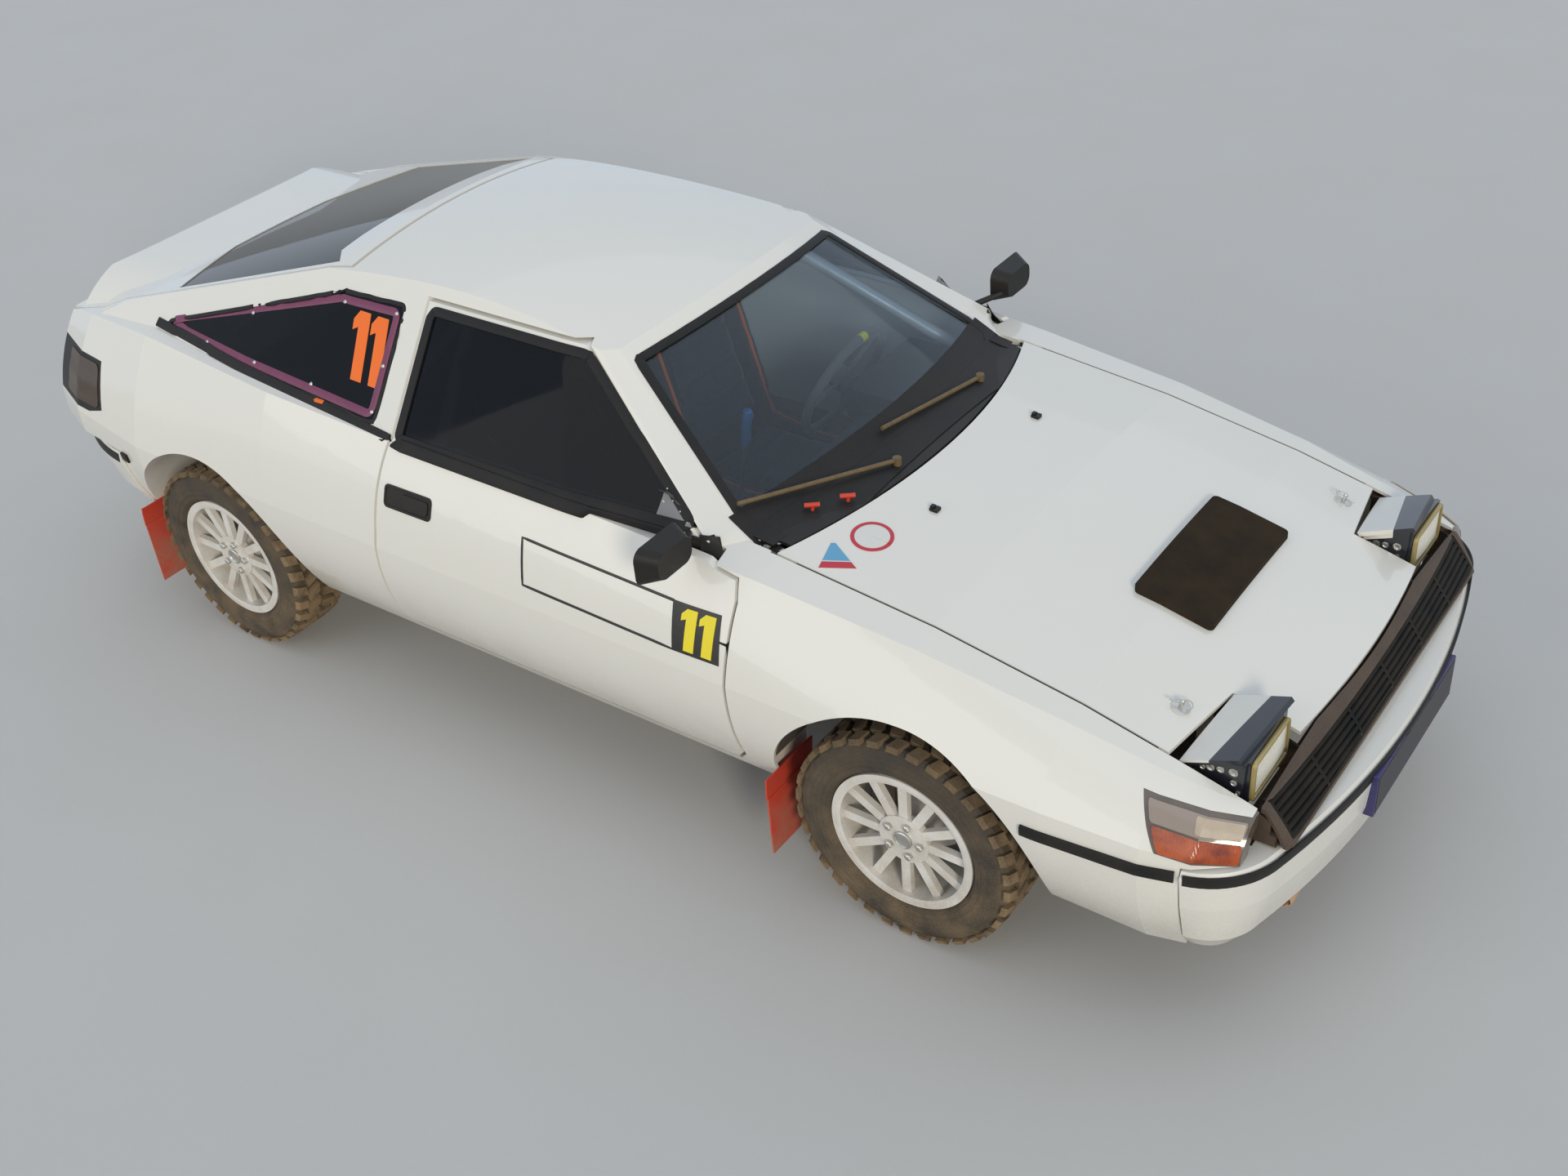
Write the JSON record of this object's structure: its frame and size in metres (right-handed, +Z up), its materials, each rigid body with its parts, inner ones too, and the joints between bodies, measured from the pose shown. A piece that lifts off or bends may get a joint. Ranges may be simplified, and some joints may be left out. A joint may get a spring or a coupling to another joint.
{
  "type": "rally car",
  "caption": "White liftback coupe prepared for rallying, with pop-up headlamps, a hood scoop, roll cage, mud flaps and multi-spoke wheels on treaded tyres.",
  "frame": {"origin": "on the ground below the middle of the car, which stands on its four tyres", "axes": "+X to the car's front, +Y to the driver's left, +Z up"},
  "size_m": [4.365, 1.865, 1.3319],
  "materials": {
    "white_paint": "gloss",
    "red_paint": "satin",
    "dark_metal": "satin",
    "cast_metal": "matt",
    "bright_steel": "brushed",
    "tinted_glass": "polished",
    "lamp_plastic": "gloss",
    "white_plastic": "satin",
    "black_plastic": "matt",
    "red_plastic": "matt",
    "seat_cloth": "matt",
    "white_wheel": "gloss",
    "tread": "matt"
  },
  "bodies": {
    "body": {"body_shell": "white_paint", "underbody": "dark_metal", "windshield": "tinted_glass", "quarter_windows": "tinted_glass", "cowl_panel": "black_plastic", "wipers": "black_plastic", "fender_left": "white_paint", "fender_right": "white_paint", "nose_panel": "black_plastic", "grille": "black_plastic", "front_bumper": "white_plastic", "rear_bumper": "white_plastic", "corner_lamps": "lamp_plastic", "tail_lamps": "lamp_plastic", "mud_flaps": "red_plastic", "roll_cage": "dark_metal", "seats": "seat_cloth", "dashboard": "black_plastic", "steering_wheel": "black_plastic", "engine": "cast_metal", "exhaust": "bright_steel", "front_suspension": "dark_metal", "rear_suspension": "dark_metal"},
    "hood_panel": {"hood": "white_paint", "hood_scoop": "black_plastic"},
    "door_left_side": {"door_left": "white_paint", "door_glass_left": "tinted_glass", "mirror_left": "black_plastic"},
    "door_right_side": {"door_right": "white_paint", "door_glass_right": "tinted_glass", "mirror_right": "black_plastic"},
    "liftback": {"hatch": "white_paint", "hatch_glass": "tinted_glass"},
    "lamp_left": {"headlamp_left": "white_paint"},
    "lamp_right": {"headlamp_right": "white_paint"},
    "carrier_left": {"knuckle_left": "cast_metal"},
    "carrier_right": {"knuckle_right": "cast_metal"},
    "wheel_front_left": {"rim_front_left": "white_wheel", "tyre_front_left": "tread"},
    "wheel_front_right": {"rim_front_right": "white_wheel", "tyre_front_right": "tread"},
    "wheel_rear_left": {"rim_rear_left": "white_wheel", "tyre_rear_left": "tread"},
    "wheel_rear_right": {"rim_rear_right": "white_wheel", "tyre_rear_right": "tread"}
  },
  "joints": [
    {"name": "hood_hinge", "type": "hinge", "parent": "body", "child": "hood_panel", "pos_m": [0.7, 0, 0.893], "axis": [0, -1, 0], "range_deg": [0, 55]},
    {"name": "door_left_hinge", "type": "hinge", "parent": "body", "child": "door_left_side", "pos_m": [0.625, 0.812, 0.63], "axis": [0, 0, -1], "range_deg": [0, 65]},
    {"name": "door_right_hinge", "type": "hinge", "parent": "body", "child": "door_right_side", "pos_m": [0.625, -0.812, 0.63], "axis": [0, 0, 1], "range_deg": [0, 65]},
    {"name": "liftback_hinge", "type": "hinge", "parent": "body", "child": "liftback", "pos_m": [-0.9, 0, 1.284], "axis": [0, 1, 0], "range_deg": [0, 62]},
    {"name": "lamp_left_fold", "type": "hinge", "parent": "body", "child": "lamp_left", "pos_m": [1.858, 0.5, 0.7], "axis": [0, 1, 0], "range_deg": [0, 37.5]},
    {"name": "lamp_right_fold", "type": "hinge", "parent": "body", "child": "lamp_right", "pos_m": [1.858, -0.5, 0.7], "axis": [0, 1, 0], "range_deg": [0, 37.5]},
    {"name": "steer_left", "type": "hinge", "parent": "body", "child": "carrier_left", "pos_m": [1.21, 0.69, 0.172], "axis": [0, -0.2059, 0.9786], "range_deg": [-33, 33]},
    {"name": "steer_right", "type": "hinge", "parent": "body", "child": "carrier_right", "pos_m": [1.21, -0.69, 0.172], "axis": [0, 0.2059, 0.9786], "range_deg": [-33, 33]},
    {"name": "spin_front_left", "type": "hinge", "parent": "carrier_left", "child": "wheel_front_left", "pos_m": [1.21, 0.732, 0.317], "axis": [0, 1, 0], "continuous": true},
    {"name": "spin_front_right", "type": "hinge", "parent": "carrier_right", "child": "wheel_front_right", "pos_m": [1.21, -0.732, 0.317], "axis": [0, 1, 0], "continuous": true},
    {"name": "spin_rear_left", "type": "hinge", "parent": "body", "child": "wheel_rear_left", "pos_m": [-1.315, 0.732, 0.317], "axis": [0, 1, 0], "continuous": true},
    {"name": "spin_rear_right", "type": "hinge", "parent": "body", "child": "wheel_rear_right", "pos_m": [-1.315, -0.732, 0.317], "axis": [0, 1, 0], "continuous": true}
  ],
  "couplings": [
    {"joint": "steer_right", "follows": "steer_left", "ratio": 1}
  ]
}
